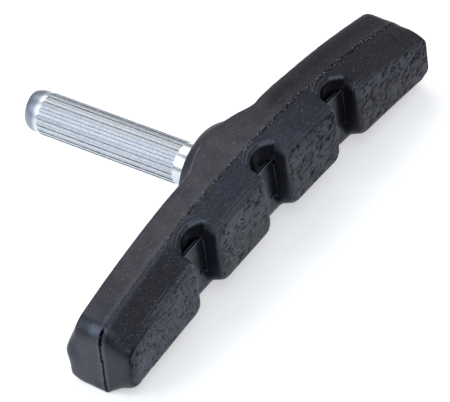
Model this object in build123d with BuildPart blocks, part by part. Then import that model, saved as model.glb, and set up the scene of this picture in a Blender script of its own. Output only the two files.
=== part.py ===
from build123d import *
import os
from math import cos, radians, sin, sqrt, tan

os.makedirs("parts", exist_ok=True)

# Bicycle rim brake pad with a smooth-clamp post.
# X runs along the pad, +Y along the post away from the rim, +Z outwards from the wheel's centre.
# The origin is on the post's axis, where the post leaves the rubber boss.

# Outline of the rubber on the parting plane, seen along the post
pad_length = 72.0
outer_rise = 7.9          # from the post's axis out to the outer side, at mid-length
inner_drop = 5.2          # from the post's axis in to the inner side, at mid-length
outer_radius = 132.0      # curve of the outer side
inner_radius = 280.0      # curve of the inner side
outer_corner = 2.6
inner_corner = 0.4

# Depths along the post, measured from one plane to the next
boss_height = 2.4         # boss rim to the flat of the back
bevel_depth = 1.8         # flat of the back to the shoulder under the bevel
shoulder_depth = 4.0      # shoulder to the parting plane
web_depth = 2.0           # parting plane to the floor of the grooves
groove_depth = 2.45       # floor of the grooves to the braking face

# Slopes of the sides
front_draft = 23.5        # outer and inner sides, from the parting plane to the braking face
back_outer_draft = 0.5    # outer side, from the parting plane to the shoulder
back_inner_draft = 4.5    # inner side, from the parting plane to the shoulder
end_draft = 0.4           # both ends, each way from the parting plane
bevel_width = 4.0         # how far the bevel takes the outer side in
back_outer_corner = 2.2
back_inner_corner = 1.0
back_round = 0.65         # edges of the back

# Boss round the post
boss_rim_radius = 5.6
boss_rim_chamfer = 0.3
boss_slope = 45.0         # from the back's plane
boss_root_slope = 33.0    # where the boss runs out into the back
boss_root_round = 3.0     # between the two slopes

# Friction blocks and the grooves between them
block_count = 4
groove_pitch = 16.85
groove_width = 4.7
wall_draft = 3.0
block_corner = 1.4
end_corner = 1.0          # outer corners of the braking face at the pad's ends
face_chamfer = 0.4        # along the sides and grooves
end_chamfer = 0.1

# Pocket at the outer end of each groove, round-backed and wider outwards
pocket_reach = 0.95       # behind the floor of the groove
pocket_sink = 0.9         # below the plate's edge
pocket_width = 3.8        # at the plate's edge
mouth_width = 6.0         # at the outer side

# Steel plate moulded into the web, bare in the grooves
plate_length = 60.0
plate_rise = 4.3          # post's axis to the plate's outer edge
plate_drop = 3.2          # post's axis to the plate's inner edge
plate_thickness = 0.5
plate_corner = 1.5

# Post
post_diameter = 6.0       # over the knurl
plain_diameter = 5.92     # bands at both ends of the knurl
post_length = 27.4        # free length past the boss
root_diameter = 5.4       # neck inside the rubber, from the boss rim to the plate
foot_diameter = 8.0       # flange welded to the back of the plate
foot_thickness = 0.8
tip_length = 1.7
tip_inset = 0.4
tip_chamfer = 0.35
knurl_start = 3.2         # plain band next to the boss
knurl_end = 25.0
knurl_count = 18
knurl_width = 0.52
knurl_depth = 0.26

# Planes across the post
back_y = -boss_height
shoulder_y = back_y - bevel_depth
parting_y = shoulder_y - shoulder_depth
floor_y = parting_y - web_depth
face_y = floor_y - groove_depth
plate_back_y = floor_y + plate_thickness

groove_count = block_count - 1
groove_centres = [(i - (groove_count - 1) / 2) * groove_pitch for i in range(groove_count)]


def across(y):
    # Plane across the post at y, with X to the right and Z up
    return Plane.XZ.offset(-y)


def sag(radius, x):
    # Drop of a curved side at x from its middle
    return radius - sqrt(radius**2 - x**2)


def outline(y, left, right, outer_inset, inner_inset, corners):
    # Slice of the rubber between two x, its sides moved in from the parting plane's;
    # corners are the rounds at outer left, outer right, inner left and inner right
    top = outer_rise - outer_inset
    bottom = -inner_drop + inner_inset
    top_radius = outer_radius - outer_inset
    bottom_radius = inner_radius + inner_inset
    middle = (left + right) / 2
    upper = [(x, top - sag(top_radius, x)) for x in (left, middle, right)]
    lower = [(x, bottom - sag(bottom_radius, x)) for x in (right, middle, left)]
    with BuildSketch(across(y)) as slice_sketch:
        with BuildLine():
            ThreePointArc(*upper)
            Line(upper[-1], lower[0])
            ThreePointArc(*lower)
            Line(lower[-1], upper[0])
        make_face()
        points = (upper[0], upper[-1], lower[-1], lower[0])
        for point, radius in zip(points, corners):
            fillet(slice_sketch.vertices().sort_by_distance(point)[0], radius)
    return slice_sketch.sketch


def pocket_outline(x, z, width):
    # Slice across a pocket, from the floor of the groove to its round back
    back = (x, floor_y + pocket_reach)
    with BuildSketch(Plane.XY.offset(z)) as slice_sketch:
        with BuildLine():
            wall = ThreePointArc((x - width / 2, floor_y), back, (x + width / 2, floor_y))
            Line(wall @ 1, wall @ 0)
        make_face()
    return slice_sketch.sketch


def whole_outline(y, outer_inset, inner_inset, end_inset, outer_round, inner_round):
    half = pad_length / 2 - end_inset
    corners = (outer_round, outer_round, inner_round, inner_round)
    return outline(y, -half, half, outer_inset, inner_inset, corners)


front_slope = tan(radians(front_draft))
outer_slope = tan(radians(back_outer_draft))
inner_slope = tan(radians(back_inner_draft))
end_slope = tan(radians(end_draft))
web_inset = web_depth * front_slope
shoulder_outer = shoulder_depth * outer_slope
shoulder_inner = shoulder_depth * inner_slope

# Post, turned, with a foot welded to the plate and a slightly domed end
post_radius = post_diameter / 2
plain_radius = plain_diameter / 2
root_radius = root_diameter / 2
foot_radius = foot_diameter / 2
foot_top_y = plate_back_y + foot_thickness
with BuildPart() as post:
    with BuildSketch(Plane.XY) as post_profile:
        with BuildLine():
            Polyline(
                (0, plate_back_y),
                (foot_radius, plate_back_y),
                (foot_radius, foot_top_y),
                (root_radius, foot_top_y),
                (root_radius, 0),
                (plain_radius, 0),
                (plain_radius, knurl_start),
                (post_radius, knurl_start),
                (post_radius, knurl_end),
                (plain_radius, knurl_end),
                (plain_radius, post_length - tip_length),
            )
            tip = TangentArc(
                (plain_radius, post_length - tip_length),
                (plain_radius - tip_inset, post_length),
                tangent=(0, 1),
            )
            Polyline(tip @ 1, (0, post_length), (0, plate_back_y))
        make_face()
        chamfer(post_profile.vertices().sort_by_distance(tip @ 1)[0], tip_chamfer)
    revolve(axis=Axis.Y)
    # Straight knurl: grooves whose round ends run out into the plain bands
    for i in range(knurl_count):
        angle = 360 * i / knurl_count
        tangent_plane = Plane.XY.rotated((0, angle, 0)).offset(post_radius)
        with BuildSketch(tangent_plane):
            with Locations((0, (knurl_start + knurl_end) / 2)):
                SlotCenterToCenter(knurl_end - knurl_start, knurl_width, rotation=90)
        extrude(amount=-knurl_depth, mode=Mode.SUBTRACT)
post.part.label = "post"
export_step(post.part, "parts/post.step")

# Backing plate, curved with the inner side of the pad
plate_half = plate_length / 2
with BuildPart() as backing_plate:
    with BuildSketch(across(floor_y)) as plate_outline:
        with BuildLine():
            plate_upper = ThreePointArc(
                (-plate_half, plate_rise - sag(inner_radius, plate_half)),
                (0, plate_rise),
                (plate_half, plate_rise - sag(inner_radius, plate_half)),
            )
            plate_lower = ThreePointArc(
                (plate_half, -plate_drop - sag(inner_radius, plate_half)),
                (0, -plate_drop),
                (-plate_half, -plate_drop - sag(inner_radius, plate_half)),
            )
            Line(plate_upper @ 1, plate_lower @ 0)
            Line(plate_lower @ 1, plate_upper @ 0)
        make_face()
        fillet(plate_outline.vertices(), plate_corner)
    extrude(amount=-plate_thickness)
backing_plate.part.label = "backing_plate"
export_step(backing_plate.part, "parts/backing_plate.step")

# Edges of the friction blocks along the pad, at the groove floor and at the rim of the face
rim_depth = groove_depth - face_chamfer
rim_y = floor_y - rim_depth
rim_inset = (web_depth + rim_depth) * front_slope
floor_half = groove_width / 2
rim_half = floor_half + rim_depth * tan(radians(wall_draft))
floor_end = pad_length / 2 - web_depth * end_slope
rim_end = pad_length / 2 - (web_depth + rim_depth) * end_slope


def block_edges(index, groove_half, end):
    left = -end if index == 0 else groove_centres[index - 1] + groove_half
    right = end if index == groove_count else groove_centres[index] - groove_half
    return left, right


def block_corners(index, outer_end, inner_end):
    outer_left = outer_end if index == 0 else block_corner
    outer_right = outer_end if index == groove_count else block_corner
    inner_left = inner_end if index == 0 else block_corner
    inner_right = inner_end if index == groove_count else block_corner
    return outer_left, outer_right, inner_left, inner_right


# Rubber block: web and back, boss, friction blocks, then the room for plate and post
boss_angle = radians(boss_slope)
root_angle = radians(boss_root_slope)
cone_depth = boss_height - boss_root_round * (cos(root_angle) - cos(boss_angle))
boss_depth = boss_height + bevel_depth
shoulder_end = shoulder_depth * end_slope
with BuildPart() as boss:
    with BuildSketch(Plane.XY) as boss_profile:
        with BuildLine():
            boss_rim = Line((0, 0), (boss_rim_radius, 0))
            cone = Line(boss_rim @ 1, (boss_rim_radius + cone_depth / tan(boss_angle), -cone_depth))
            root = JernArc(cone @ 1, cone % 1, boss_root_round, boss_slope - boss_root_slope)
            run_out = PolarLine(root @ 1, bevel_depth / sin(root_angle), -boss_root_slope)
            Polyline(run_out @ 1, (0, -boss_depth), (0, 0))
        make_face()
        chamfer(boss_profile.vertices().sort_by_distance((boss_rim_radius, 0))[0], boss_rim_chamfer)
    revolve(axis=Axis.Y)
    # The boss is cut off flush with the long sides
    shoulder = whole_outline(
        shoulder_y, shoulder_outer, shoulder_inner, shoulder_end, outer_corner, inner_corner
    )
    extrude(shoulder, amount=-boss_depth, mode=Mode.INTERSECT)

with BuildPart() as brake_block:
    parting = whole_outline(parting_y, 0, 0, 0, outer_corner, inner_corner)
    web_end = web_depth * end_slope
    web_floor = whole_outline(floor_y, web_inset, web_inset, web_end, outer_corner, inner_corner)
    loft(sections=[parting, web_floor], ruled=True)
    loft(sections=[parting, shoulder], ruled=True)
    # The back rounds over from its bevelled sides to the flat
    back_slices = []
    for turn in (0, 30, 60, 90):
        inset = back_round * (1 - cos(radians(turn)))
        slice_depth = back_round * (1 - sin(radians(turn)))
        bevel_inset = bevel_width * (1 - slice_depth / bevel_depth)
        back_slices.append(
            whole_outline(
                back_y - slice_depth,
                shoulder_outer + bevel_inset + inset,
                shoulder_inner + inset,
                shoulder_end + inset,
                back_outer_corner - inset,
                back_inner_corner - inset,
            )
        )
    loft(sections=[shoulder, back_slices[0]], ruled=True)
    loft(sections=back_slices)
    add(boss.part)

    # Friction blocks, with a small bevel round each braking face
    for index in range(block_count):
        # At the pad's ends a block's foot is rounded as the web is
        foot_corners = block_corners(index, outer_corner, inner_corner)
        face_corners = block_corners(index, end_corner, block_corner)
        foot_edges = block_edges(index, floor_half, floor_end)
        rim_edges = block_edges(index, rim_half, rim_end)
        face_edges = block_edges(index, rim_half + face_chamfer, rim_end - end_chamfer)
        foot = outline(floor_y, *foot_edges, web_inset, web_inset, foot_corners)
        rim = outline(rim_y, *rim_edges, rim_inset, rim_inset, face_corners)
        face_inset = rim_inset + face_chamfer
        face = outline(face_y, *face_edges, face_inset, face_inset, face_corners)
        loft(sections=[foot, rim, face], ruled=True)

    # Pockets, from behind the plate's edge out through the outer side
    for x in groove_centres:
        plate_edge = plate_rise - sag(inner_radius, x)
        outer_side = outer_rise - sag(outer_radius, x)
        well = pocket_outline(x, plate_edge, pocket_width)
        mouth = pocket_outline(x, outer_side, mouth_width)
        extrude(well, amount=-pocket_sink, mode=Mode.SUBTRACT)
        loft(sections=[well, mouth], ruled=True, mode=Mode.SUBTRACT)

    # Plate and post are moulded in, with the rubber bonded to them all round
    add(backing_plate.part, mode=Mode.SUBTRACT)
    add(post.part, mode=Mode.SUBTRACT)
brake_block.part.label = "brake_block"
export_step(brake_block.part, "parts/brake_block.step")
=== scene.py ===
import math
import random
import bpy
import numpy as np
from mathutils import Matrix, Vector, noise


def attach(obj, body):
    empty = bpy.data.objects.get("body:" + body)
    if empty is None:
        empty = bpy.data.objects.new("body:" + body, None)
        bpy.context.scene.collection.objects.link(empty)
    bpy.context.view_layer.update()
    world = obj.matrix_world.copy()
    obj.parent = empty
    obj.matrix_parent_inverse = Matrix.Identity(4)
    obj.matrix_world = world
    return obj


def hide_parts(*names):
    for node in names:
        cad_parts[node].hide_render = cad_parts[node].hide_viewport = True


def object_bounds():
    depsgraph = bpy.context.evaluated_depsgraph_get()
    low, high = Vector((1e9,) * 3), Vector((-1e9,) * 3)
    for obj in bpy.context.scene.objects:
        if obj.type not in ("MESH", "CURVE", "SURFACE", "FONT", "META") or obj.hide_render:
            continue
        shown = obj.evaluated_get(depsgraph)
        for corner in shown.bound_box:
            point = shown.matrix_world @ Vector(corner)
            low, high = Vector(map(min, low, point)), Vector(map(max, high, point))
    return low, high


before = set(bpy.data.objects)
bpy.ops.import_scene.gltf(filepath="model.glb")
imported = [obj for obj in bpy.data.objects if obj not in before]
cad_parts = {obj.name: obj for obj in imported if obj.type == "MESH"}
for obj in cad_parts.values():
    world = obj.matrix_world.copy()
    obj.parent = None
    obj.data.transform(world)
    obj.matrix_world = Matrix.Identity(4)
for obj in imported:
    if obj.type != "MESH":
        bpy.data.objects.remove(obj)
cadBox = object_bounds()
mm = 0.001
print("frame loaded")


def plug(socket, value):  # a link or a plain value
    if isinstance(value, Wire):
        socket.id_data.links.new(value.socket, socket)
    else:
        socket.default_value = value


class Wire:  # a shader socket that takes part in sums
    def __init__(self, socket):
        self.socket = socket

    def maths(self, operation, *values):
        node = self.socket.id_data.nodes.new("ShaderNodeMath")
        node.operation = operation
        for slot, value in zip(node.inputs, values):
            plug(slot, value)
        return Wire(node.outputs[0])

    def __add__(self, other):
        return self.maths("ADD", self, other)

    def __sub__(self, other):
        return self.maths("SUBTRACT", self, other)

    def __rsub__(self, other):
        return self.maths("SUBTRACT", other, self)

    def __mul__(self, other):
        return self.maths("MULTIPLY", self, other)

    def __truediv__(self, other):
        return self.maths("DIVIDE", self, other)

    def __rtruediv__(self, other):
        return self.maths("DIVIDE", other, self)

    def __lt__(self, other):
        return self.maths("LESS_THAN", self, other)

    def __gt__(self, other):
        return self.maths("GREATER_THAN", self, other)

    __radd__ = __add__
    __rmul__ = __mul__


class Finish:  # one material and its nodes
    def __init__(self, name):
        self.material = bpy.data.materials.new(name)
        self.material.use_nodes = True
        self.tree = self.material.node_tree
        self.shader = self.tree.nodes["Principled BSDF"]
        self.place = self.node("ShaderNodeTexCoord", out="Object")

    def node(self, kind, settings=None, sockets=None, out=0):
        node = self.tree.nodes.new(kind)
        for key, value in (settings or {}).items():
            setattr(node, key, value)
        for key, value in (sockets or {}).items():
            plug(node.inputs[key], value)
        return Wire(node.outputs[out])

    def feed(self, key, value):
        plug(self.shader.inputs[key], value)

    def axes(self):  # place on the piece, in mm
        return [self.node("ShaderNodeSeparateXYZ", None, {0: self.place}, i) / mm for i in range(3)]

    def drawnOut(self, share):  # place stretched, for streaks
        return self.node("ShaderNodeMapping", None, {"Vector": self.place, "Scale": share})

    def mark(self, name):  # a number stored on the mesh
        return self.node("ShaderNodeAttribute", {"attribute_name": name}, out="Fac")

    def noise(self, size, detail=3.0, roughness=0.55, where=None):  # cloudy 0 to 1, size in mm
        return self.node("ShaderNodeTexNoise", None, {
            "Vector": where or self.place, "Scale": 1 / (size * mm), "Detail": detail, "Roughness": roughness})

    def smooth(self, value, low, high, start=0.0, end=1.0):  # soft step between two values
        return self.node("ShaderNodeMapRange", {"interpolation_type": "SMOOTHSTEP"}, {
            "Value": value, "From Min": low, "From Max": high, "To Min": start, "To Max": end})

    def band(self, value, inner, outer, inside=1.0, outside=0.0):  # soft band about zero, its limits squared
        return self.smooth(value * value, inner, outer, inside, outside)

    def wrap(self, value, half):  # repeats from -half to half
        return self.node("ShaderNodeMath", {"operation": "WRAP"}, {0: value, 1: half, 2: -half})

    def blend(self, share, first, second, how="MIX"):  # two colours
        first, second = ((*colour, 1) if isinstance(colour, tuple) else colour for colour in (first, second))
        return self.node(
            "ShaderNodeMix", {"data_type": "RGBA", "blend_type": how}, {0: share, 6: first, 7: second}, 2)

    def tint(self, tone, colour):
        return self.blend(1.0, tone, colour, "MULTIPLY")

    def relief(self, strength, height):
        self.feed("Normal", self.node(
            "ShaderNodeBump", None, {"Strength": strength, "Distance": 1.0, "Height": height}))

    def dress(self, piece):  # the piece wears this finish alone
        piece.data.materials.clear()
        piece.data.materials.append(self.material)


def clearSelection():
    if bpy.context.object and bpy.context.object.mode != "OBJECT":
        bpy.ops.object.mode_set(mode="OBJECT")
    bpy.ops.object.select_all(action="DESELECT")


def workOn(*pieces):
    clearSelection()
    for piece in pieces:
        piece.select_set(True)
    bpy.context.view_layer.objects.active = pieces[0]


def editAll(piece):
    workOn(piece)
    bpy.ops.object.mode_set(mode="EDIT")
    bpy.ops.mesh.select_all(action="SELECT")


def editSome(piece, kind, flags):  # edit mode with only the flagged faces or vertices selected
    workOn(piece)
    bpy.ops.object.mode_set(mode="EDIT")
    bpy.ops.mesh.select_mode(type=kind)
    bpy.ops.mesh.select_all(action="DESELECT")
    bpy.ops.object.mode_set(mode="OBJECT")
    elements = piece.data.polygons if kind == "FACE" else piece.data.vertices
    elements.foreach_set("select", flags)
    bpy.ops.object.mode_set(mode="EDIT")


def useModifier(piece, kind, **settings):
    workOn(piece)
    modifier = piece.modifiers.new(kind.lower(), kind)
    for key, value in settings.items():
        setattr(modifier, key, value)
    bpy.ops.object.modifier_apply(modifier=modifier.name)


def placed(name):  # the primitive just added, with its place taken into its mesh
    piece = bpy.context.object
    piece.name = name
    bpy.ops.object.transform_apply(location=True, rotation=True, scale=True)
    return piece


def solidCopy(nodeName, name):  # a CAD node's mesh as a closed mesh of its own
    piece = bpy.data.objects.new(name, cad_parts[nodeName].data.copy())
    bpy.context.collection.objects.link(piece)
    editAll(piece)
    bpy.ops.mesh.remove_doubles(threshold=0.0005 * mm)
    bpy.ops.object.mode_set(mode="OBJECT")
    return piece


def cutOff(piece, place, direction):  # keeps what lies behind the plane, and closes it
    editAll(piece)
    bpy.ops.mesh.bisect(plane_co=[c * mm for c in place], plane_no=direction, clear_outer=True, use_fill=True)
    bpy.ops.object.mode_set(mode="OBJECT")


def stretch(piece, share):
    editAll(piece)
    bpy.ops.transform.resize(value=share)
    bpy.ops.object.mode_set(mode="OBJECT")


def addGroup(piece, name, *parts):  # a vertex group from masks and their weights
    group = piece.vertex_groups.new(name=name)
    for mask, weight in parts:
        group.add(np.nonzero(mask)[0].tolist(), weight, "REPLACE")


def readRows(elements, what):  # one row of three for each vertex or face
    flat = np.empty(len(elements) * 3, dtype=np.float32)
    elements.foreach_get(what, flat)
    return flat.reshape(-1, 3).astype(float)


def movePoints(piece, points):  # points in mm
    piece.data.vertices.foreach_set("co", (points * mm).ravel())
    piece.data.update()


def storeMark(piece, name, values):  # one number a point, read by the finish
    mark = piece.data.attributes.new(name, "FLOAT", "POINT")
    mark.data.foreach_set("value", values.astype(np.float32))


def cloud(points, size, shift=0.0):  # smooth noise about zero, one value a point
    return np.array([noise.noise(Vector(p)) for p in points / size + shift])


def ramp(values, start, end):  # 0 up to the start, 1 from the end on, either way round
    return np.clip((values - start) / (end - start), 0, 1)


def hump(values, width):  # 1 at zero, fading to both sides
    return np.exp(-(values / width) ** 2)


# rubber block, from the moulded solid: fill its room for plate and post, soften, then work the skin
rubber = {
    "voxel": 0.26 * mm, "softenSteps": 2, "rounded": {"pocketRims": 14, "endCorners": 60, "bossFoot": 50},  # steps
    "plateSpans": ((-31, -19.6), (-14.1, -2.75), (2.75, 14.1), (19.6, 31)),  # plate between the grooves
    "plateStretch": (1, 1.6, 1.04), "rootTop": -0.02, "rootStretch": (1.05, 1, 1.05),
    "halfLength": 36, "outerRise": 7.9, "outerRadius": 132, "frontDraft": 23.5,
    "groovePitch": 16.85, "mouthCentre": -13.9, "mouthRadius": 4.65,
    "partingY": -8.2, "partingWander": 0.09, "flashHeight": 0.06, "flashWidth": 0.2,
    "crackDepth": 0.05, "crackWidth": 0.11, "crackBeside": 0.24,
    "faceY": -12.65, "faceSpan": (-3.6, 6.4), "faceRadius": 210, "facePits": 1020,
    "pitLength": (0.18, 0.6), "pitWidth": (0.085, 0.14), "pitDepth": (0.07, 0.18),
    "pitLean": (8, 32), "pitCurl": 0.5, "coarseFrom": 6, "coarser": 1.25, "shortTo": -18, "shorter": 0.55,
    "rimLines": (0.4, 0.85), "rimHeight": 0.1, "rimWidth": 0.075,
    "bossRim": 5.35, "bossFull": 7.95, "bossDepth": 3.6, "bossEnd": -0.03,
    "cornerFill": 0.35, "endFill": 0.24, "endWaist": 0.35, "shoulderFill": 0.24, "nearBulge": 1.1,
    "uneven": ((0.018, 3.2, 5.0), (0.010, 1.1, 2.0)),  # height, size and shift of two clouds
    "wallShade": 0.42, "farWallShade": 0.2, "browShade": 0.6, "lipShade": 0.5, "bossShade": 0.6,
    "endShade": 0.25, "pocketPaler": 0.4, "rimGlow": 0.75, "endGlow": 0.9, "leastUpward": 0.06, "seed": 11,
}
grooves = [i * rubber["groovePitch"] for i in (-1, 0, 1)]
block = solidCopy("brake_block", "rubberBlock")
fillers = []
for left, right in rubber["plateSpans"]:
    filler = solidCopy("backing_plate", "plateFill")
    cutOff(filler, (left, 0, 0), (-1, 0, 0))
    cutOff(filler, (right, 0, 0), (1, 0, 0))
    stretch(filler, rubber["plateStretch"])
    fillers.append(filler)
root = solidCopy("post", "rootFill")
cutOff(root, (0, rubber["rootTop"], 0), (0, 1, 0))
stretch(root, rubber["rootStretch"])
workOn(block, root, *fillers)
bpy.ops.object.join()
useModifier(block, "REMESH", mode="VOXEL", voxel_size=rubber["voxel"], use_smooth_shade=True)
useModifier(block, "SMOOTH", factor=0.5, iterations=rubber["softenSteps"])
print("rubber softened", len(block.data.polygons))


def fromMouth(groove):  # from the round back of a pocket, outwards
    return np.hypot(x - groove, y - rubber["mouthCentre"]) - rubber["mouthRadius"]


# finer faces along the parting line, on the braking faces and round the grooves
x, y, z = readRows(block.data.polygons, "center").T / mm
nearGroove = np.min([np.abs(x - groove) for groove in grooves], axis=0) < 3.9
fine = (np.abs(y - rubber["partingY"]) < 0.5) | (y < rubber["faceY"] + 0.3) | (nearGroove & (y < -8.6) & (z > 3.2))
editSome(block, "FACE", fine)
bpy.ops.mesh.subdivide(number_cuts=1)
bpy.ops.object.mode_set(mode="OBJECT")
useModifier(block, "SMOOTH", factor=0.5, iterations=2)

# the boss swells and rounds over to its end
points = readRows(block.data.vertices, "co") / mm
x, y, z = points.T
rounding = 1 - ramp(y, -rubber["bossDepth"], 0) ** 2
bossRadius = rubber["bossRim"] + (rubber["bossFull"] - rubber["bossRim"]) * np.sqrt(rounding)
fromAxis = np.hypot(x, z)
onBoss = (y > -rubber["bossDepth"]) & (y < rubber["bossEnd"]) & (fromAxis > 4.4)
swell = np.where(onBoss, np.maximum(0, bossRadius / np.maximum(fromAxis, 1) - 1), 0)
swell = 1 + swell * ramp(z, -0.5, 2.0)
points[:, 0] *= swell
points[:, 2] *= swell
movePoints(block, points)

# pocket rims, front corners of the ends and the boss are well rounded
pocketRim = np.zeros(len(points), dtype=bool)
for groove in grooves:
    pocketRim |= (np.abs(fromMouth(groove)) < 0.75) & (z > 5.2) & (np.abs(x - groove) < 3.2)
farCorner = (x > 32.6) & (y < -8.7) & (y > -12.4) & (z > -1.5)
nearCorner = (x < -31) & (y < -8.5) & (y > -12.6)
aroundBoss = (fromAxis > 5.2) & (y > -6.5) & (z > 1.5)
addGroup(block, "pocketRims", (pocketRim, 1.0))
addGroup(block, "endCorners", (farCorner, 0.2), (nearCorner, 1.0))
addGroup(block, "bossFoot", (aroundBoss & (fromAxis < 14), 0.25), (aroundBoss & (fromAxis < 8.6), 1.0))
for group, steps in rubber["rounded"].items():  # groups and marks can't share a name
    useModifier(block, "SMOOTH", factor=0.5, iterations=steps, vertex_group=group)

points = readRows(block.data.vertices, "co") / mm
normals = readRows(block.data.vertices, "normal")
x, y, z = points.T
nx, ny, nz = normals.T
fromAxis = np.hypot(x, z)
dice = random.Random(rubber["seed"])

# pits of the braking faces
onFace = ramp(-ny, 0.75, 0.95) * (y < rubber["faceY"] + 0.45)
faceIndex = np.nonzero(onFace > 0)[0]
faceX, faceZ = x[faceIndex], z[faceIndex]
dent = np.zeros(len(faceIndex))
for _ in range(rubber["facePits"]):
    middleX = dice.uniform(-rubber["halfLength"], rubber["halfLength"])
    middleZ = dice.uniform(*rubber["faceSpan"]) - middleX * middleX / (2 * rubber["faceRadius"])
    lean = math.radians(dice.gauss(*rubber["pitLean"]))
    coarse = rubber["coarser"] if middleX > rubber["coarseFrom"] else 1.0  # coarser towards the far end
    long = coarse * dice.uniform(*rubber["pitLength"]) * (rubber["shorter"] if middleX < rubber["shortTo"] else 1)
    wide = coarse * dice.uniform(*rubber["pitWidth"])
    deep = dice.uniform(*rubber["pitDepth"])
    curl = dice.uniform(-rubber["pitCurl"], rubber["pitCurl"])
    near = np.nonzero((np.abs(faceX - middleX) < 2) & (np.abs(faceZ - middleZ) < 2))[0]
    offX, offZ = faceX[near] - middleX, faceZ[near] - middleZ
    along = offX * math.cos(lean) + offZ * math.sin(lean)
    across = offZ * math.cos(lean) - offX * math.sin(lean) - curl * along**2
    dent[near] = np.maximum(dent[near], deep * np.exp(-(along / long) ** 4 - (across / wide) ** 2))
pits = np.zeros(len(points))
pits[faceIndex] = dent * onFace[faceIndex]

# flash along the parting line, with a crack beside it
fromParting = y - rubber["partingY"]
line = np.nonzero(np.abs(fromParting) < 1.2)[0]
linePoints = points[line]
levelPoints = linePoints * (1, 0, 1)
fromSeam = fromParting[line] - rubber["partingWander"] * cloud(levelPoints, 2.4)
ragged = cloud(linePoints, 0.55, 3.7)
broken = cloud(levelPoints, 1.1, 9.1)
flash = np.zeros(len(points))
crack = np.zeros(len(points))
flash[line] = np.clip(0.45 + ragged + 0.6 * broken, 0, 1.5) * hump(fromSeam, rubber["flashWidth"])
crack[line] = np.clip(0.55 + 1.2 * broken, 0, 1) * hump(fromSeam + rubber["crackBeside"], rubber["crackWidth"])
seam = rubber["flashHeight"] * flash - rubber["crackDepth"] * crack

# fine lines round the pockets
rims = np.zeros(len(points))
for groove in grooves:
    top = ramp(nz, 0.6, 0.85) * (z > 3.5) * (np.abs(x - groove) < 2.9)
    for gap in rubber["rimLines"]:
        rims = np.maximum(rims, top * hump(fromMouth(groove) - gap, rubber["rimWidth"]))

# painted shade in the grooves and pockets, on the boss's flank and on the near end's front; painted highlights on the
# pocket lips, the rim lines and the near end's top corner
inGroove = np.zeros(len(points))
highlight = np.zeros(len(points))
frontSlope = math.tan(math.radians(rubber["frontDraft"]))
outerSide = rubber["outerRise"] - x * x / (2 * rubber["outerRadius"]) + np.minimum(0, fromParting) * frontSlope
sunk = outerSide - z  # below the outer side
for groove in grooves:
    side = x - groove
    reach = fromMouth(groove)
    wall = ramp(np.abs(side), 2.8, 2.5) * (ny > -0.9) * (y < -9.9) * ramp(y, -12.62, -12.32)
    wall *= rubber["wallShade"] + rubber["farWallShade"] * (side > 0)
    pocket = ramp(sunk, 0.15, 0.5) * (np.abs(side) < 3.2) * ramp(y, -10.9, -10.3) * (y < -8.9) * ramp(z, 2.2, 2.7)
    pocket *= 1 - rubber["pocketPaler"] * hump(side + 0.3, 0.8) * ramp(sunk, 0.5, 1.0)  # its floor is paler
    brow = ramp(sunk, 0.02, 0.22) * ramp(side, 1.9, 2.3) * (side < 3.3) * (ny > -0.8)
    brow *= rubber["browShade"] * ramp(y, -9.6, -10.4) * ramp(y, -12.2, -11.0)
    nearLip = hump(reach - 0.1, 0.3) * ramp(side, -0.4, -1.0) * (sunk < 1) * (side > -3.4) * (y > -11)
    inGroove = np.maximum.reduce([inGroove, wall, brow, pocket, rubber["lipShade"] * nearLip])
    farLip = hump(sunk - 0.08, 0.2) * hump(reach, 0.4) * ramp(side, 0.5, 1.1) * ramp(side, 3.3, 3.0)
    highlight = np.maximum.reduce([highlight, farLip, rubber["rimGlow"] * rims * ramp(side, 1.0, 0.2)])
# painted highlight on the near end's rounded top corner
endGlow = hump(x + 35.3, 1.0) * hump(z - 2.9, 1.4) * hump(y + 7.1, 1.5) * ramp(y, -8.1, -7.7)
highlight = np.maximum(highlight, rubber["endGlow"] * endGlow)
bossFlank = ramp(ny, 0.3, 0.65) * ramp(ny, 0.95, 0.8) * ramp(fromAxis, 11, 8)
nearEndFront = ramp(x, -33.5, -35.0) * ramp(y, -8.5, -9.0)
shade = np.maximum.reduce([inGroove, rubber["bossShade"] * bossFlank, rubber["endShade"] * nearEndFront])
upward = np.maximum(rubber["leastUpward"], ramp(nz, 0.3, 0.7))  # where dust settles

# a slightly uneven skin, and forms a little fuller or slimmer than the solid
uneven = sum(height * cloud(points, size, shift) for height, size, shift in rubber["uneven"])
awayFromEnds = np.maximum(0.25, ramp(np.abs(x), 35.4, 34.2))
corner = ramp(np.abs(y + 10.2), 2.1, 0) * (x > 32) * np.clip(2 * np.abs(nx) * nz, 0, 1)
farEnd = (x > 33) * ramp(y, -9.2, -11.2) * ramp(nx, 0.4, 0.7)
waist = hump(y + 10.6, 0.9) * ramp(np.abs(x), 33, 35) * ramp(-nz, 0, 1)
shoulder = ramp(y, -6.5, -5.0) * ramp(fromAxis, 8.5, 10.0) * ramp(z, -1, 1)
shoulder *= ramp(x, 6.5, 9.0) * ramp(x, 36, 34) * (0.75 + 0.5 * hump(x - 10.5, 3))
bulge = ramp(x, -34.4, -35.6) * ramp(y, -4.4, -3.2) * hump(z + 2.2, 1.7)  # behind the near end
lift = uneven + seam * awayFromEnds - pits + rubber["rimHeight"] * rims
lift += rubber["cornerFill"] * corner + rubber["endFill"] * farEnd - rubber["endWaist"] * waist
lift += rubber["shoulderFill"] * (shoulder + rubber["nearBulge"] * bulge)
movePoints(block, points + normals * lift[:, None])
marks = {"pits": pits / rubber["pitDepth"][1], "crack": crack, "shade": shade, "highlight": highlight, "upward": upward}
for name, values in marks.items():
    storeMark(block, name, values)
block.data.update()
workOn(block)
bpy.ops.object.shade_smooth()
print("rubber worked", len(block.data.polygons), "faces")
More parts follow.
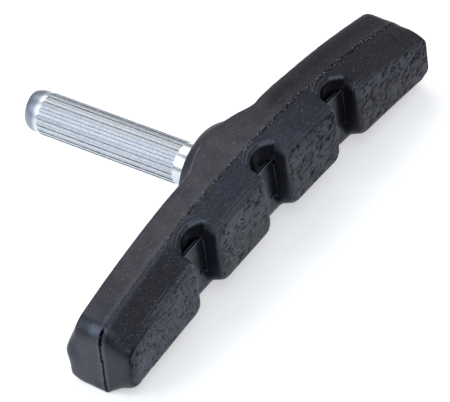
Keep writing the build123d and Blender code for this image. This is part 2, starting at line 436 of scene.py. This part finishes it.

# rubber finish: spans are places in mm along the pad or the post, where one tone gives way to the next. The tones of
# the back, end, front and braking faces, and their changes along the pad, are painted light and shade on one rubber
skin = {
    "back": (0.0225, 0.0200, 0.0245), "backMiddle": (0.0180, 0.0172, 0.0240), "backFar": (0.0065, 0.0048, 0.0076),
    "end": (0.0165, 0.0195, 0.0300), "front": (0.0085, 0.0080, 0.0100), "frontMiddle": (0.030, 0.037, 0.054),
    "face": (0.023, 0.027, 0.039), "faceMiddle": (0.009, 0.0105, 0.0155), "faceFar": (0.009, 0.0086, 0.0102),
    "dark": (0.0022, 0.0023, 0.0030), "dust": (0.30, 0.285, 0.27), "scuff": (0.06, 0.065, 0.075),
    "highlight": (0.085, 0.105, 0.145), "fleck": (0.040, 0.037, 0.038), "sheenTint": (0.78, 0.82, 1.0),
    "mottleTint": (0.6, 0.62, 0.68), "grainTints": ((1.35, 1.33, 1.3), (0.5, 0.5, 0.52)), "warmTint": (1.3, 1.12, 0.9),
    "frontSpan": (-9.1, -8.1), "faceSpan": (-12.6, -12.3), "farBackSpan": (-4, 15), "farFaceSpan": (10, 22),
    "backSpan": (-17, -11), "endSpan": (-30, -34), "alongFaceSpan": (-21, -13), "frontCentre": -3.5,
    "scuffLines": (-12.52, -12.34, -12.1, -11.7), "sheenEdge": -12.5, "highlightEdge": -12.3, "thirdBlock": 9,
    "dustTile": 0.25, "dustSize": 0.22, "crumbSize": 0.36, "roughness": (0.36, 0.50), "endGloss": 0.1,
}
finish = Finish("rubber")
px, py, pz = finish.axes()
pitMark, crackMark, shadeMark, highlightMark, upMark = (finish.mark(name) for name in marks)
mottle = finish.noise(2.6, 4)
grain = finish.noise(0.28, 4, 0.65)
crumb = finish.noise(0.42, 2)
toFront = finish.smooth(py + mottle * 0.5, *skin["frontSpan"], 1, 0)
toFace = finish.smooth(py, *skin["faceSpan"], 1, 0)
onFront = toFront * (1 - toFace)
farBack = finish.smooth(px, *skin["farBackSpan"]) * (1 - toFront)
farFace = finish.smooth(px, *skin["farFaceSpan"]) * toFace
fromMiddle = px - skin["frontCentre"]
# painted light and shade: each side gets its own tone, lighter or darker along the pad
tone = finish.blend(finish.smooth(px, *skin["backSpan"]), skin["back"], skin["backMiddle"])
tone = finish.blend(farBack, tone, skin["backFar"])
tone = finish.blend(finish.smooth(px, *skin["endSpan"]), tone, skin["end"])
frontTone = finish.blend(finish.band(fromMiddle, 30, 420), skin["front"], skin["frontMiddle"])
tone = finish.blend(toFront, tone, frontTone)
faceTone = finish.blend(finish.smooth(px, *skin["alongFaceSpan"]), skin["face"], skin["faceMiddle"])
tone = finish.blend(toFace, tone, finish.blend(farFace, faceTone, skin["faceFar"]))
tone = finish.blend(finish.smooth(mottle, 0.35, 0.68), tone, finish.tint(tone, skin["mottleTint"]))
tone = finish.blend(finish.smooth(grain, 0.35, 0.68), *(finish.tint(tone, colour) for colour in skin["grainTints"]))

# fine wrinkles between the pits, short level lines of a stretched noise
stretched = finish.drawnOut((0.55, 1, 1))
patchy = finish.noise(0.9, 1)
wrinkle = finish.band(finish.noise(0.75, 1, 0.5, stretched) - 0.5, 0, 0.0016)
wrinkle = wrinkle * finish.smooth(patchy, 0.46, 0.54) * toFace
crease = finish.band(finish.noise(0.6, 1, 0.5, stretched) - 0.48, 0, 0.0012)
crease = crease * finish.smooth(patchy, 0.5, 0.42) * toFace
tone = finish.blend(crease * 0.5, tone, skin["scuff"])
pitDark = finish.smooth(pitMark, 0.15, 0.75) * finish.smooth(px, -2, 6, 0.9, 0.6) + wrinkle * 0.7

# scuffs along the upper edge of the braking faces, scratches and flecks on the front
scuff = 0
for lineY in skin["scuffLines"]:
    scuff = scuff + finish.band(py - lineY + finish.noise(9.0, 1) * 0.15, 0, 0.011)
scuff = scuff * finish.smooth(finish.noise(7.0, 3), 0.42, 0.6) * finish.smooth(pz, 2.0, 3.0)
streaked = finish.drawnOut((0.05, 1, 1))
scratch = finish.smooth(finish.noise(0.3, 2, 0.5, streaked), 0.58, 0.68) * onFront
scratch = scratch * finish.smooth(finish.noise(4.0, 2), 0.4, 0.55) * finish.band(fromMiddle, 60, 300, 1, 0.2)
scuff = scuff + scratch * 0.6
tone = finish.blend(scuff * finish.band(fromMiddle, 40, 300, 0.75, 0.7), tone, skin["scuff"])
fleck = finish.smooth(finish.noise(0.32, 3, 0.7), 0.48, 0.63) * onFront
fleck = fleck * finish.smooth(mottle, 0.35, 0.6, 0.25, 0.75) * 0.75
tone = finish.blend(fleck, tone, skin["fleck"])
warm = finish.smooth(finish.noise(4.2, 3), 0.48, 0.64) * 0.7
tone = finish.blend(warm, tone, finish.tint(tone, skin["warmTint"]))
# painted highlight along the upper edge of the near braking faces, broken into lengthwise streaks
streaks = finish.smooth(finish.noise(0.14, 2, 0.5, streaked), 0.45, 0.6)
streaks = streaks * finish.smooth(finish.noise(3.0, 2), 0.35, 0.55, 0.35, 1)
edgeHighlight = finish.band(py - skin["highlightEdge"], 0.02, 0.1) * finish.smooth(px, -14, -18) * finish.smooth(pz, 1.0, 2.5)
tone = finish.blend(edgeHighlight * streaks * 0.7, tone, skin["highlight"])
# painted sheen along the top edge of the braking faces, in the scuff colour, fading towards the far end
edgeSheen = finish.band(py - skin["sheenEdge"], 0.01, 0.12) * finish.smooth(pz, 2.0, 3.0) * finish.smooth(px, -2, 22, 1, 0.2)
edgeSheen = edgeSheen * (1 - toFace * 0.8) * finish.smooth(mottle, 0.3, 0.6, 0.25, 0.6)
tone = finish.blend(edgeSheen, tone, skin["scuff"])

# parting line: a broken crack in a band of crumbs
fromLine = py - rubber["partingY"] + (finish.noise(2.2, 2) - 0.5) * 0.5
nearLine = finish.band(fromLine, 0.015, 0.12)
bright = finish.band(fromLine, 0.1, 0.7) * finish.smooth(px, -22, -17, 1, 0.5)
tone = finish.blend(bright * 0.45, tone, skin["scuff"])
crumbs = nearLine * finish.smooth(finish.noise(0.26, 2), 0.52, 0.58)
crackDark = finish.smooth(crackMark, 0.5, 0.95) * 0.3 + crumbs * 0.7
crackDark = crackDark * finish.smooth(px, -21, -15, 0.35, 1)
fromSplit = fromLine + (finish.noise(0.7, 3) - 0.5) * 0.6
crackDark = crackDark + finish.smooth(px, -34.4, -35.2) * finish.band(fromSplit, 0.02, 0.07, 0.95, 0)  # split near end

# painted shade, dull and dark, in cracks, pits and deep corners, on the far back, the far and upper braking faces, the
# near end and the faces turned from the light; with it the dark crumbs of the parting line
highFace = finish.smooth(pz + px * px / (2 * rubber["outerRadius"]), 0, 5.5, 0, 0.34)
highFace = highFace * finish.smooth(px, 12, 20, 1, 0.45) + finish.band(px - skin["thirdBlock"], 20, 70, 0.2, 0)
dull = crackDark + pitDark * 0.5 + shadeMark * 0.85 + farBack * finish.smooth(py, -6.5, -4.6, 0.33, 0.2)
dull = dull + farFace * 0.29 + toFace * highFace + finish.smooth(px, -33, -35.5, 0, 0.12)
dull = finish.smooth(dull, 0, 1)
tone = finish.blend(dull, tone, skin["dark"])
# painted highlights: pocket lips, rim lines and the near end's top corner
tone = finish.blend(finish.smooth(highlightMark + (crumb - 0.5) * 0.5, 0.25, 0.95) * 0.8, tone, skin["highlight"])

# pale dust all over, thicker along the parting line
tile = {"Vector": finish.place, "Scale": 1 / (skin["dustTile"] * mm)}
specks = finish.node("ShaderNodeTexVoronoi", None, tile, "Distance")
tileColour = finish.node("ShaderNodeTexVoronoi", None, tile, "Color")
chance = finish.node("ShaderNodeSeparateColor", None, {"Color": tileColour})
dust = (specks < skin["dustSize"]) * finish.smooth(chance, 0.74, 1.0, 0.0, 0.85) * upMark
pale = (specks < skin["crumbSize"]) * (chance > 0.52) * nearLine * upMark * finish.smooth(px, -24, -15, 0.4, 1)
tone = finish.blend(dust, tone, skin["dust"])
tone = finish.blend(pale * 0.65, tone, skin["dust"])
finish.feed("Base Color", tone)
finish.feed("Metallic", dull * (1 - dust) * (1 - pale))  # with the dark tone, takes the sheen off the painted shade and the dark crumbs
roughness = finish.smooth(mottle * 0.6 + grain * 0.4, 0.3, 0.7, *skin["roughness"])
finish.feed("Roughness", roughness - finish.smooth(px, -31, -35) * skin["endGloss"])  # glossier near end
finish.feed("Specular Tint", (*skin["sheenTint"], 1))
relief = grain * (0.022 * mm) + finish.noise(0.9, 3) * (0.02 * mm) + scuff * (0.01 * mm) - wrinkle * (0.05 * mm)
finish.relief(0.6, relief)
finish.dress(block)
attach(block, "root")
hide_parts("brake_block")
print("rubber finished")

# thin strings of flash where the rubber meets the bare plate, one along each groove
flashString = {
    "thick": 0.26, "sides": 10, "fromWall": 2.28, "level": -10.26, "top": 3.5, "bottom": -2.2,
    "curl": 0.7, "bend": 80, "bendSteps": 6, "foot": 0.8, "tipShare": 0.4, "shade": 0.45,
}
strings = []
for groove in grooves:
    middle = groove + flashString["fromWall"]
    drop = flashString["bottom"] - flashString["top"]
    clearSelection()
    bpy.ops.mesh.primitive_circle_add(
        vertices=flashString["sides"], radius=flashString["thick"] / 2 * mm, fill_type="NGON",
        location=(middle * mm, flashString["level"] * mm, flashString["top"] * mm))
    string = placed("grooveFlash")
    editAll(string)
    bpy.ops.mesh.extrude_region_move(TRANSFORM_OT_translate={"value": (0, 0, drop * mm)})
    pivot = ((middle - flashString["curl"]) * mm, flashString["level"] * mm, flashString["bottom"] * mm)
    bpy.ops.mesh.spin(
        steps=flashString["bendSteps"], angle=math.radians(flashString["bend"]), center=pivot, axis=(0, 1, 0))
    bpy.ops.mesh.extrude_region_move(TRANSFORM_OT_translate={"value": (-flashString["foot"] * mm, 0, 0)})
    bpy.ops.transform.resize(value=[flashString["tipShare"]] * 3)
    bpy.ops.mesh.select_all(action="SELECT")
    bpy.ops.mesh.normals_make_consistent(inside=False)
    bpy.ops.object.mode_set(mode="OBJECT")
    strings.append(string)
workOn(*strings)
bpy.ops.object.join()
string = bpy.context.object
bpy.ops.object.shade_smooth()
storeMark(string, "shade", np.full(len(string.data.vertices), flashString["shade"]))
finish.dress(string)
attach(string, "root")
print("groove flash laid", len(string.data.polygons), "faces")

# post: a turned pin with its knurl grooves pressed in by one round-ended tool, copied round
postShape = {
    "radius": 2.98, "sides": 144, "buried": 0.6, "tipStart": 25.7,
    "tip": ((0.7, 0.985), (0.5, 0.965), (0.3, 0.955), (0.16, 0.95)),  # forward and shrink of each step
    "dome": (0.6, 0.08),  # inset and rise
    "slant": (("X", 0.78), ("Z", -0.86)), "slantPivot": (-2.2, -2.0), "plainTo": (2.75, 25.45),
    "grooveCount": 18, "grooveWidth": 0.52, "grooveDepth": 0.11, "grooveStart": 3.2, "grooveEnd": 25.0,
    "toolSides": 24, "toolHeight": 0.6, "edge": 0.045, "edgeAngle": math.radians(35),
}
clearSelection()
bpy.ops.mesh.primitive_cylinder_add(
    vertices=postShape["sides"], radius=postShape["radius"] * mm,
    depth=(postShape["tipStart"] + postShape["buried"]) * mm,
    location=(0, (postShape["tipStart"] - postShape["buried"]) / 2 * mm, 0), rotation=(-math.pi / 2, 0, 0))
post = placed("knurledPost")
editSome(post, "FACE", [polygon.normal.y > 0.9 for polygon in post.data.polygons])
tipY = postShape["tipStart"]
pivotX, pivotZ = postShape["slantPivot"]
for forward, shrink in postShape["tip"]:  # rounds over to the end, which is cropped at a slight slant
    bpy.ops.mesh.extrude_region_move(TRANSFORM_OT_translate={"value": (0, forward * mm, 0)})
    bpy.ops.transform.resize(value=(shrink, 1, shrink))
    tipY += forward
    for axis, slant in postShape["slant"]:
        bpy.ops.transform.rotate(
            value=math.radians(slant), orient_axis=axis, center_override=(pivotX * mm, tipY * mm, pivotZ * mm))
inset, rise = postShape["dome"]
bpy.ops.mesh.inset(thickness=inset * mm)
bpy.ops.transform.translate(value=(0, rise * mm, 0))
for ring in postShape["plainTo"]:  # keeps the plain bands clear of the knurl's facets
    bpy.ops.mesh.select_all(action="SELECT")
    bpy.ops.mesh.bisect(plane_co=(0, ring * mm, 0), plane_no=(0, 1, 0))

clearSelection()
toolZ = postShape["radius"] - postShape["grooveDepth"] + postShape["toolHeight"] / 2
bpy.ops.mesh.primitive_cylinder_add(
    vertices=postShape["toolSides"], radius=postShape["grooveWidth"] / 2 * mm, depth=postShape["toolHeight"] * mm,
    location=(0, postShape["grooveStart"] * mm, toolZ * mm))
tool = placed("grooveTool")
editSome(tool, "VERT", readRows(tool.data.vertices, "co")[:, 1] > (postShape["grooveStart"] + 0.001) * mm)
bpy.ops.transform.translate(value=(0, (postShape["grooveEnd"] - postShape["grooveStart"]) * mm, 0))
bpy.ops.object.mode_set(mode="OBJECT")
pitch = 2 * math.pi / postShape["grooveCount"]
tools = [tool]
for i in range(1, postShape["grooveCount"]):
    copy = bpy.data.objects.new("grooveTool", tool.data.copy())
    bpy.context.collection.objects.link(copy)
    copy.data.transform(Matrix.Rotation(i * pitch, 4, "Y"))
    tools.append(copy)
workOn(*tools)
bpy.ops.object.join()
useModifier(post, "BOOLEAN", operation="DIFFERENCE", object=tool, solver="EXACT")
bpy.data.objects.remove(tool)
useModifier(
    post, "BEVEL", width=postShape["edge"] * mm, segments=2, limit_method="ANGLE", angle_limit=postShape["edgeAngle"])
workOn(post)
bpy.ops.object.shade_smooth_by_angle(angle=postShape["edgeAngle"])
print("post knurled", len(post.data.polygons), "faces")

# zinc finish, with painted shade along both edges of every groove
zinc = {
    "bright": (0.71, 0.75, 0.795), "dull": (0.47, 0.51, 0.56), "grooveEdgeShade": (0.09, 0.10, 0.12), "grooveEdgeShadeWidth": 0.055,
    "land": (0.47, 0.62), "band": (0.2, 0.27),  # roughness of the knurl and of the plain bands
    "bandTone": 0.8, "knurlFade": 0.4,
    "tip": (0.41, 0.44, 0.48), "tipSpan": (25.5, 26.3), "tipRough": 0.16, "tipRoughSpan": (25.2, 25.8),
}
finish = Finish("zincPlate")
px, py, pz = finish.axes()
angle = finish.node("ShaderNodeMath", {"operation": "ARCTAN2"}, {0: px, 1: pz})
fromGroove = finish.wrap(angle, pitch / 2) * postShape["radius"]
fromEdge = finish.node("ShaderNodeMath", {"operation": "ABSOLUTE"}, {0: fromGroove}) - postShape["grooveWidth"] / 2
knurled = finish.smooth(py, postShape["grooveStart"] - zinc["knurlFade"], postShape["grooveStart"])
knurled = knurled * finish.smooth(py, postShape["grooveEnd"], postShape["grooveEnd"] + zinc["knurlFade"], 1, 0)
grain = finish.noise(0.13, 3, 0.6, finish.drawnOut((1, 0.3, 1)))  # streaks along the post
# painted shade along both edges of every groove, patchy
grooveEdgeShade = finish.band(fromEdge, 0, zinc["grooveEdgeShadeWidth"] ** 2) * knurled
grooveEdgeShade = grooveEdgeShade * finish.smooth(finish.noise(0.8, 3), 0.3, 0.6, 0.45, 1)
shine = finish.smooth(finish.noise(1.6, 4) * 0.15 + grain * 0.85, 0.34, 0.66) * knurled
shine = shine + (1 - knurled) * zinc["bandTone"]
tone = finish.blend(shine, zinc["dull"], zinc["bright"])
tone = finish.blend(grooveEdgeShade, tone, zinc["grooveEdgeShade"])
# painted shade: the rounded tip is darker
tone = finish.blend(finish.smooth(py, *zinc["tipSpan"]), tone, finish.tint(tone, zinc["tip"]))
finish.feed("Base Color", tone)
finish.feed("Metallic", 1.0)
landRough, bandRough = (finish.smooth(grain, 0.3, 0.7, *zinc[part]) for part in ("land", "band"))
roughness = landRough * knurled + bandRough * (1 - knurled)
finish.feed("Roughness", roughness + finish.smooth(py, *zinc["tipRoughSpan"]) * zinc["tipRough"])
finish.relief(0.5, grain * knurled * (0.04 * mm))
finish.dress(post)
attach(post, "root")
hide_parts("post")

# plate finish, dark bonded steel, barer on its outer edge, with painted shade along one wall of each groove
plateTone = {
    "steel": (0.026, 0.031, 0.047), "bond": (0.013, 0.015, 0.022), "shadeByWall": (0.006, 0.0064, 0.008),
    "edge": (0.16, 0.17, 0.20), "edgeSpan": (4.15, 4.27), "edgeRadius": 280, "face": -10.2, "thick": 0.5,
    "shadeByWallSpan": (0.7, 1.6), "shadeByWallDull": 0.4, "roughness": (0.3, 0.4),
}
finish = Finish("plateSteel")
px, py, pz = finish.axes()
cloudy = finish.noise(2.5, 3)
tone = finish.blend(finish.smooth(cloudy, 0.35, 0.65), plateTone["bond"], plateTone["steel"])
acrossGroove = finish.wrap(px, rubber["groovePitch"] / 2)
shadeByWall = finish.smooth(acrossGroove + finish.noise(1.5, 2) * 0.6, *plateTone["shadeByWallSpan"])  # painted shade along one wall of each groove
tone = finish.blend(shadeByWall, tone, plateTone["shadeByWall"])
outerEdge = finish.smooth(pz + px * px / (2 * plateTone["edgeRadius"]), *plateTone["edgeSpan"])
rolled = (py - plateTone["face"]) * (plateTone["thick"] + plateTone["face"] - py)  # nothing at the edge's two rims
bare = finish.smooth(rolled, 0.02, 0.045, 1, 0) * finish.smooth(finish.noise(1.0, 3), 0.3, 0.5, 0.3, 0.9)
tone = finish.blend(outerEdge, tone, finish.blend(bare, plateTone["bond"], plateTone["edge"]))
finish.feed("Base Color", tone)
# the painted shade also takes the sheen off
finish.feed("Metallic", shadeByWall * plateTone["shadeByWallDull"])
finish.feed("Specular Tint", (*skin["sheenTint"], 1))
finish.feed("Roughness", finish.smooth(cloudy, 0.3, 0.7, *plateTone["roughness"]))
finish.dress(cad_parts["backing_plate"])
print("post and plate finished")

# camera, as the photograph sees the pad
view = {
    "azimuth": -51.392, "elevation": 41.005, "roll": -7.342,
    "distance": 805.6 * mm, "shiftRight": 2.992 * mm, "shiftUp": -4.1 * mm,
    "focalPixels": 6019.2, "imageWidth": 450, "sensor": 36.0, "clip": (0.01, 10),
}
azimuth, elevation, roll = (math.radians(view[key]) for key in ("azimuth", "elevation", "roll"))
levelRight = Vector((math.cos(azimuth), math.sin(azimuth), 0))
levelBack = Vector((math.sin(azimuth), -math.cos(azimuth), 0))
toCamera = levelBack * math.cos(elevation) + Vector((0, 0, math.sin(elevation)))
upright = toCamera.cross(levelRight)
right = math.cos(roll) * levelRight + math.sin(roll) * upright
up = math.cos(roll) * upright - math.sin(roll) * levelRight
place = toCamera * view["distance"] + right * view["shiftRight"] + up * view["shiftUp"]
bpy.ops.object.camera_add()
camera = bpy.context.object
camera.name = "photoCamera"
camera.matrix_world = Matrix.Translation(place) @ Matrix((right, up, toCamera)).transposed().to_4x4()
camera.data.sensor_fit = "HORIZONTAL"
camera.data.sensor_width = view["sensor"]
camera.data.lens = view["focalPixels"] * view["sensor"] / view["imageWidth"]
camera.data.clip_start, camera.data.clip_end = view["clip"]
bpy.context.scene.camera = camera

# floor and soft light
studio = {
    "floorSize": 3.0, "floorTones": ((0.92, 0.92, 0.92), (0.95, 0.95, 0.95)), "floorGlow": 0.45,
    "sky": (0.93, 0.96, 1.0), "skyStrength": 0.45,
    "lamps": (  # direction from the pad, distance, width, power, colour
        ((0.38, 0.47, 0.80), 0.6, 0.42, 0.9, (1.0, 0.94, 0.90)),
        ((-0.6, 0.47, 0.62), 0.6, 0.48, 1.35, (0.82, 0.90, 1.0)),
        ((-0.42, -0.48, 0.77), 0.6, 0.3, 0.65, (0.82, 0.90, 1.0)),
    ),
}
clearSelection()
bpy.ops.mesh.primitive_plane_add(size=studio["floorSize"], location=(0, 0, cadBox[0][2]))
floor = bpy.context.object
floor.name = "floor"
finish = Finish("paleFloor")
finish.feed("Base Color", finish.blend(finish.noise(40), *studio["floorTones"]))
finish.feed("Roughness", 0.9)
finish.feed("Emission Color", (1, 1, 1, 1))  # a light table, so that shadows stay faint
finish.feed("Emission Strength", studio["floorGlow"])
finish.dress(floor)
for direction, distance, width, power, colour in studio["lamps"]:
    spot = Vector(direction).normalized() * distance
    bpy.ops.object.light_add(type="AREA", location=spot, rotation=spot.to_track_quat("Z", "Y").to_euler())
    lamp = bpy.context.object
    lamp.data.size = width
    lamp.data.energy = power
    lamp.data.color = colour
world = bpy.data.worlds.new("softStudio")
bpy.context.scene.world = world
world.use_nodes = True
sky = world.node_tree.nodes["Background"].inputs
sky["Color"].default_value = (*studio["sky"], 1)
sky["Strength"].default_value = studio["skyStrength"]
bpy.context.scene.view_settings.view_transform = "Standard"
print("studio set")
